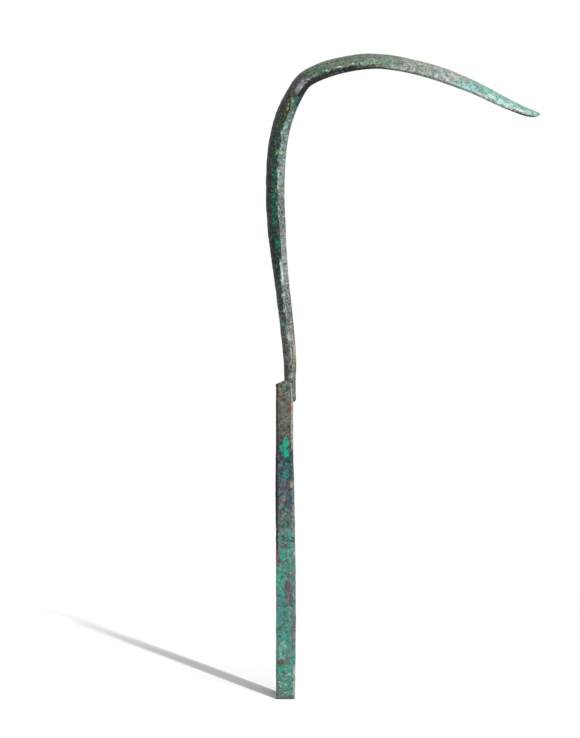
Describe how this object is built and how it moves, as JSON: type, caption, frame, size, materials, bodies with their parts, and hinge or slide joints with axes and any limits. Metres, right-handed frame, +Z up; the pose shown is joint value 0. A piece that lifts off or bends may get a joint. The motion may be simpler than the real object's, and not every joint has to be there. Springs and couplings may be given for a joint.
{
  "type": "strigil",
  "caption": "Hooked, gutter-shaped scraper blade on a long hollow box handle with a strap slot, in patinated bronze sheet.",
  "frame": {"origin": "middle of the handle's end face, on which the object stands upright", "axes": "+Z up the handle towards the blade, +X the way the hook reaches, +Y across the blade's width"},
  "size_m": [0.0981, 0.0226, 0.2303],
  "materials": {
    "blade_bronze": "hammered bronze sheet with a mottled green, olive and slate patina",
    "handle_bronze": "bronze sheet with emerald, slate and brick-red corrosion",
    "wall_bronze": "bronze strip with emerald, slate and brick-red corrosion",
    "solder": "dull grey lead-tin solder",
    "lead": "dull grey cast lead"
  },
  "bodies": {
    "root": {"blade": "blade_bronze", "front_plate": "handle_bronze", "back_plate": "handle_bronze", "side_wall_left": "wall_bronze", "side_wall_right": "wall_bronze", "end_cap": "handle_bronze", "shoulder_cap": "handle_bronze", "stem_solder": "solder", "tang_bedding": "lead", "cap_solder": "solder", "seam_solder": "solder"}
  },
  "joints": []
}
